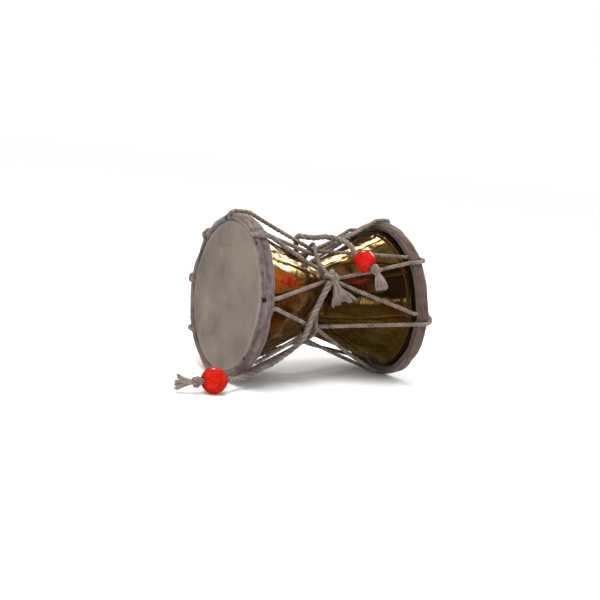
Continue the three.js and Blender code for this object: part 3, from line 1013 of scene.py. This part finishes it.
def wrapped_hoop(side):
    """The hoop's points, faces and folds, and how far each point is in the lap and in a hole."""
    outer_loops = [i for i, (_, _, tucked) in enumerate(LOOPS[side]) if not tucked]
    cords = np.vstack([smooth_route(loop_points(side, i), 0.4) for i in outer_loops])
    verts, folds, laps, holes = [], [], [], []
    lap_start, lap_end = LAPS[side]
    for i in range(HOOP_SIDES):
        angle = 360.0 * i / HOOP_SIDES
        arc = math.radians(angle) * HOOP_OUTSIDE
        signed = (angle + 180) % 360 - 180
        lap = ease((signed - lap_start) / LAP_EDGE_DEGREES)
        lap *= ease((lap_end - signed) / LAP_EDGE_DEGREES)
        drawn = HOOP_FACET * min(facet(side, angle), MOST_FACET)
        wander = SIDEWAYS_WANDER * noise.noise(Vector((arc / 14.0, 3.0 * side, 1.0)))
        for k in range(SECTION_SIDES):
            turn = 2 * math.pi * k / SECTION_SIDES
            c, s = math.cos(turn), math.sin(turn)
            power = 2 / SECTION_SQUARENESS
            across = math.copysign(abs(c) ** power, c)
            outward = math.copysign(abs(s) ** power, s)
            around = Vector((across * 2.3, outward * 1.9, 0.035 * arc + 20 * side))
            crease = min(abs(noise.noise(around)) * 3.2, 1.0) ** 0.7
            fine = noise.noise(Vector((across * 5.0, outward * 5.0, 0.16 * arc)))
            lump = noise.noise(Vector((across * 0.8, outward * 0.8, 0.11 * arc + 9)))
            out = CREASE_DEPTH * (crease - 0.8) + FINE_CREASE_DEPTH * fine
            out += LUMP_HEIGHT * lump + LAP_HEIGHT * lap
            if outward < 0:
                out = min(out, INSIDE_MOST)
            x = HOOP_CENTRE + (HOOP_HALF_WIDTH + 0.8 * out) * across + wander * 0.5
            radius = HOOP_MIDDLE_RADIUS - drawn + (HOOP_HALF_THICKNESS + out) * outward
            hole_share = 0.0
            for hole_angle, hole_radius, width in HOOP_HOLES[side]:
                along = math.radians((angle - hole_angle + 180) % 360 - 180) * HOLE_CIRCLE
                if abs(along) > HOLE_REACH or across < 0:
                    continue
                away = math.hypot(along / (1.1 * width), (radius - hole_radius) / width)
                hole_share = max(hole_share, math.exp(-(away**2)) * ease(across * 2))
            x -= HOLE_DEPTH * hole_share
            verts.append(on_drum(side * x, angle, radius))
            folds.append((1 - crease) ** 1.5)
            laps.append(lap)
            holes.append(hole_share)
    verts = np.array(verts)
    for start in range(0, len(verts), 2000):
        chunk = verts[start : start + 2000]
        apart = chunk[:, None, :] - cords[None, :, :]
        distance = np.linalg.norm(apart, axis=2)
        nearest = distance.argmin(axis=1)
        index = np.arange(len(chunk))
        away = distance[index, nearest]
        bed = LACE_RADIUS * LACING_BED
        pressed = (away < bed) & (np.hypot(chunk[:, 1], chunk[:, 2]) > BEDDED_FROM)
        direction = apart[index, nearest] / np.maximum(away, 1e-3)[:, None]
        chunk[pressed] = (cords[nearest] + direction * bed)[pressed]
    verts = placed(verts)
    verts[:, 2] = np.maximum(verts[:, 2], 0.0)
    faces = []
    for i in range(HOOP_SIDES):
        this, following = i * SECTION_SIDES, ((i + 1) % HOOP_SIDES) * SECTION_SIDES
        for k in range(SECTION_SIDES):
            next_k = (k + 1) % SECTION_SIDES
            face = (this + k, following + k, following + next_k, this + next_k)
            faces.append(face if side > 0 else face[::-1])
    return (verts, faces, folds), laps, holes


wrap_cloth, tree, surface = new_material(
    "wrap_cloth", Roughness=0.95, Sheen_Weight=0.3, Sheen_Roughness=0.45
)
fibre = add_node(
    tree, "ShaderNodeGroup", {"Hair size": 0.35, "Patch size": 4.0}, node_tree=fibre_group
)
wear = add_node(
    tree, "ShaderNodeGroup", {"Patch size": 14.0, "Blotch size": 3.0}, node_tree=mottle_group
)
mauve = ramp(
    tree,
    fibre.outputs["Shade"],
    [(0.32, (0.08, 0.056, 0.06)), (0.5, (0.135, 0.1, 0.106)), (0.68, (0.195, 0.155, 0.16))],
)
beige = ramp(
    tree,
    fibre.outputs["Shade"],
    [(0.32, (0.08, 0.06, 0.047)), (0.5, (0.13, 0.1, 0.08)), (0.68, (0.2, 0.16, 0.13))],
)
worn = spread(tree, wear.outputs["Patches"], 0.45, 0.62, 0.0, 0.7)
cloth = blend_colours(tree, worn, mauve, beige)
lap_mask = add_node(tree, "ShaderNodeAttribute", attribute_name="lap").outputs["Fac"]
cloth = blend_colours(tree, lap_mask, cloth, beige)
place = add_node(tree, "ShaderNodeTexCoord").outputs["Object"]
place = add_node(tree, "ShaderNodeSeparateXYZ", {0: place})
# the right hoop darker and browner than the left
right_hoop_darkening = spread(tree, place.outputs["X"], 0.03, 0.035, 0.0, 0.75)
cloth = blend_colours(tree, right_hoop_darkening, cloth, (0.072, 0.04, 0.024))
# each hoop darker and browner towards the bottom
low_darkening = spread(tree, place.outputs["Z"], 0.035, 0.012, 0.0, 0.55)
cloth = blend_colours(tree, low_darkening, cloth, (0.098, 0.06, 0.034))
# painted shade: the cloth darkened in the hollows of its creases
fold_shade = add_node(
    tree, "ShaderNodeGroup", {"Full at": 1.0, "Most": 0.75}, node_tree=shade_tone_group
).outputs["Dirt"]
cloth = blend_colours(tree, fold_shade, cloth, (0.035, 0.024, 0.022))
# painted shade: the holes in the wrap, where the lacing goes in, painted near black
hole_mask = add_node(tree, "ShaderNodeAttribute", attribute_name="hole").outputs["Fac"]
hole_shade = spread(tree, hole_mask, 0.15, 0.35, 0.0, 1.0)
cloth = blend_colours(tree, hole_shade, cloth, (0.006, 0.004, 0.004))
tree.links.new(cloth, surface.inputs["Base Color"])

threads = add_node(tree, "ShaderNodeUVMap", uv_map="cloth_mm").outputs["UV"]
thread_places = add_node(tree, "ShaderNodeSeparateXYZ", {0: threads})
THREAD_PITCH = 0.42
sines = []
for axis in ("X", "Y"):
    turns = add_node(
        tree,
        "ShaderNodeMath",
        {0: thread_places.outputs[axis], 1: 2 * math.pi / THREAD_PITCH},
        operation="MULTIPLY",
    ).outputs[0]
    sines.append(add_node(tree, "ShaderNodeMath", {0: turns}, operation="SINE").outputs[0])
weave = add_node(tree, "ShaderNodeMath", {0: sines[0], 1: sines[1]}, operation="MULTIPLY")
height = add_node(
    tree,
    "ShaderNodeMath",
    {0: weave.outputs[0], 1: 0.18, 2: fibre.outputs["Height"]},
    operation="MULTIPLY_ADD",
)
raise_by(tree, surface, height.outputs[0], 0.6, 0.00025)

for name, side in (("left", -1), ("right", 1)):
    shape, laps, holes = wrapped_hoop(side)
    hoop = add_piece(name + "_wrapped_hoop", shape, wrap_cloth, name + "_hoop")
    for label, values in (("lap", laps), ("hole", holes)):
        attribute = hoop.data.attributes.new(label, "FLOAT", "POINT")
        attribute.data.foreach_set("value", values)
    cloth_map = hoop.data.uv_layers.new(name="cloth_mm")
    places = [divmod(loop.vertex_index, SECTION_SIDES) for loop in hoop.data.loops]
    for polygon in hoop.data.polygons:
        corners = [places[index] for index in polygon.loop_indices]
        last_ring = max(ring for ring, _ in corners) == HOOP_SIDES - 1
        last_k = max(k for _, k in corners) == SECTION_SIDES - 1
        for index, (ring, k) in zip(polygon.loop_indices, corners):
            ring += HOOP_SIDES if last_ring and ring == 0 else 0
            k += SECTION_SIDES if last_k and k == 0 else 0
            along = ring / HOOP_SIDES * 2 * math.pi * HOOP_OUTSIDE
            cloth_map.data[index].uv = (along, k / SECTION_SIDES * CLOTH_ROUND)

# ---------------------------------------------------------------------------------------------
# Waist cord: slightly thicker three-ply cotton, drawn tight round the gathered lacing to tension
# both skins, knotted in front, with its end teased out.
WAIST_CORD_RADIUS = 1.15
WAIST_LAY = 7.0
WAIST_KNOT_AT = (-0.4, 33, 26.6)
WAIST_KNOT_SIZE = (3.9, 3.3, 2.6)
WAIST_KNOT_WAY = (0.1, -0.85, 0.5)
WAIST_KNOT_CORD_RADIUS = 1.35
WAIST_ROUTE = [
    (-0.3, 102, 23.2),
    (-0.6, 93, 26.9),
    (-1.0, 86, 28.3),
    (-1.8, 78, 26.6),
    (-2.4, 68, 24.2),
    (-3.0, 58, 23.8),
    (-2.8, 50, 24.0),
    (-1.8, 40, 24.4),
    (-0.6, 32, 25.0),
    (-1.2, 23, 24.5),
    (-3.6, 12, 22.5),
    (-5.6, 0, 22.0),
    (-7.4, -11, 22.9),
    (-8.0, -20, 25.1),
    (-7.8, -29, 27.3),
    (-7.2, -38, 26.1),
    (-5.8, -49, 24.0),
    (-3.8, -62, 21.6),
    (-1.8, -76, 20.4),
    (-0.4, -90, 19.8),
    (0, -118, 19.8),
    (0, -146, 19.8),
    (0, -174, 19.8),
    (0, -202, 19.8),
    (0, -226, 19.8),
    (0, -244, 19.8),
]
WAIST_TASSEL = [
    ((-0.2, -22.4, 55.0), 1.0, 0.9),
    ((1.9, -24.1, 51.2), 1.4, 0.9),
    ((3.6, -23.6, 48.4), 2.5, 0.9),
    ((6.2, -23.2, 45.0), 5.0, 0.9),
    ((9.0, -23.5, 41.2), 7.4, 0.8),
]
waist_route = smooth_route(placed([on_drum(*p) for p in WAIST_ROUTE]), 0.45, closed=True)
waist_ring = laid_cord(waist_route, WAIST_CORD_RADIUS, 3, WAIST_LAY, 18, closed=True, seed=9)
waist_knot = overhand_knot(
    placed([on_drum(*WAIST_KNOT_AT)])[0], WAIST_KNOT_SIZE, WAIST_KNOT_WAY, WAIST_KNOT_CORD_RADIUS
)
waist_tassel = frayed_end(WAIST_TASSEL, (0.8, -0.3, 0.35), 8, 176, seed=33)
waist = add_piece(
    "waist_tie", merged([waist_ring, waist_knot, waist_tassel]), lace_cotton, "waist_cord"
)
waist.data.materials.append(frayed_cotton)
for polygon in waist.data.polygons[len(waist_ring[1]) + len(waist_knot[1]) :]:
    polygon.material_index = 1

# ---------------------------------------------------------------------------------------------
# Stage: a wide floor of matt white paper under soft boxes, painted whiter away from the drum,
# where the boxes' light falls off. The polished brass mirrors a dim room with a few lamps in it,
# in place of the paper and the boxes.
FLOOR_RADIUS = 25.0
FLOOR_SIDES = 96

paper, tree, surface = new_material("white_paper", Roughness=0.95, Specular_IOR_Level=0.0)
tooth = add_node(tree, "ShaderNodeTexNoise", {"Scale": 900.0, "Detail": 3.0}).outputs["Fac"]
white = ramp(tree, tooth, [(0.3, (0.88, 0.88, 0.88)), (0.7, (0.92, 0.92, 0.92))])
from_drum = add_node(tree, "ShaderNodeTexCoord").outputs["Object"]
from_drum = add_node(
    tree, "ShaderNodeVectorMath", {0: from_drum}, operation="LENGTH"
).outputs["Value"]
# painted light: the paper turns whiter from 0.15 m to 0.6 m from the drum, making up for the soft
# boxes' light falling off
painted_far_light = spread(tree, from_drum, 0.15, 0.6, 0.0, 1.0)
white = blend_colours(tree, painted_far_light, white, (0.99, 0.99, 0.99))
tree.links.new(white, surface.inputs["Base Color"])
mesh = bpy.data.meshes.new("paper_floor")
rim = [2 * math.pi * k / FLOOR_SIDES for k in range(FLOOR_SIDES)]
rim = [(FLOOR_RADIUS * math.cos(turn), FLOOR_RADIUS * math.sin(turn), 0.0) for turn in rim]
mesh.from_pydata(rim, [], [tuple(range(FLOOR_SIDES))])
mesh.materials.append(paper)
paper_floor = bpy.data.objects.new("paper_floor", mesh)
bpy.context.scene.collection.objects.link(paper_floor)
paper_floor.visible_glossy = False
bpy.context.scene.view_settings.view_transform = "Standard"

# What the brass and the beads mirror: a dim room, olive below, near black around and brown above,
# with warm patches and lamps in it. All else is lit by a plain white room.
world = bpy.data.worlds.new("dim_room")
bpy.context.scene.world = world
world.use_nodes = True
tree = world.node_tree
heading = add_node(tree, "ShaderNodeTexCoord").outputs["Generated"]
up = add_node(tree, "ShaderNodeSeparateXYZ", {0: heading}).outputs["Z"]
walls = ramp(
    tree,
    spread(tree, up, -1.0, 1.0, 0.0, 1.0),
    [
        (0.0, (0.07, 0.062, 0.034)),
        (0.25, (0.085, 0.06, 0.03)),
        (0.5, (0.055, 0.036, 0.02)),
        (0.62, (0.03, 0.02, 0.014)),
        (0.78, (0.085, 0.055, 0.03)),
        (1.0, (0.2, 0.16, 0.115)),
    ],
)
# Patches and lamps of the room: (heading, how near it they start and are full, colour)
ROOM_PATCHES = [
    ((0.97, -0.2, -0.15), (0.9, 0.97), (0.12, 0.042, 0.014)),
    ((0.95, -0.07, 0.3), (0.93, 0.985), (0.6, 0.17, 0.03)),
    ((-0.18, -0.8, 0.57), (0.8, 0.92), (0.01, 0.006, 0.006)),
    ((-0.21, -0.91, 0.36), (0.9, 0.96), (0.008, 0.005, 0.006)),
    ((-0.13, -0.64, -0.76), (0.96, 0.993), (0.13, 0.11, 0.05)),
    ((-0.26, -0.96, 0.04), (0.99, 0.998), (2.2, 2.0, 1.7)),
    ((0.82, 0.35, 0.45), (0.95, 0.972), (5.0, 5.0, 5.2)),
    ((0.17, 0.61, 0.77), (0.968, 0.985), (5.0, 5.0, 5.2)),
]
for direction, (start, full), colour in ROOM_PATCHES:
    toward = add_node(
        tree, "ShaderNodeVectorMath", {0: heading, 1: direction}, operation="DOT_PRODUCT"
    ).outputs["Value"]
    walls = blend_colours(tree, spread(tree, toward, start, full, 0.0, 1.0), walls, colour)
clutter = add_node(
    tree, "ShaderNodeTexNoise", {"Vector": heading, "Scale": 7.0, "Detail": 3.0}
).outputs["Fac"]
clutter = spread(tree, clutter, 0.5, 0.57, 0.0, 0.9)
walls = blend_colours(tree, clutter, walls, (0.012, 0.007, 0.004))
glossy = add_node(tree, "ShaderNodeLightPath").outputs["Is Glossy Ray"]
room = blend_colours(tree, glossy, (1.0, 1.0, 1.0), walls)
tree.links.new(room, tree.nodes["Background"].inputs["Color"])
tree.nodes["Background"].inputs["Strength"].default_value = 1.0

# Soft boxes, all turned to the drum: (name, place, size across and up, watts, colour)
LIT_PLACE = Vector((0, 0, 0.04))
SOFT_BOXES = [
    ("top_box", (-0.2, -0.2, 0.8), (0.4, 0.4), 5.5, (1.0, 0.98, 0.95)),
    ("back_box", (0.11, 0.48, 0.68), (0.2, 0.1), 1.6, (1.0, 0.96, 0.88)),
    ("right_box", (0.63, 0.36, 0.38), (0.08, 0.2), 0.9, (1.0, 0.95, 0.85)),
    ("near_box", (-0.42, -0.72, 0.3), (0.1, 0.1), 0.3, (1.0, 0.97, 0.92)),
]
for name, place, size, watts, colour in SOFT_BOXES:
    light = bpy.data.lights.new(name, "AREA")
    light.shape = "RECTANGLE"
    light.size, light.size_y = size
    light.energy = watts
    light.color = colour
    box = bpy.data.objects.new(name, light)
    aim = LIT_PLACE - Vector(place)
    box_turn = aim.to_track_quat("-Z", "Y").to_matrix().to_4x4()
    box.matrix_world = Matrix.Translation(place) @ box_turn
    box.visible_glossy = False
    bpy.context.scene.collection.objects.link(box)
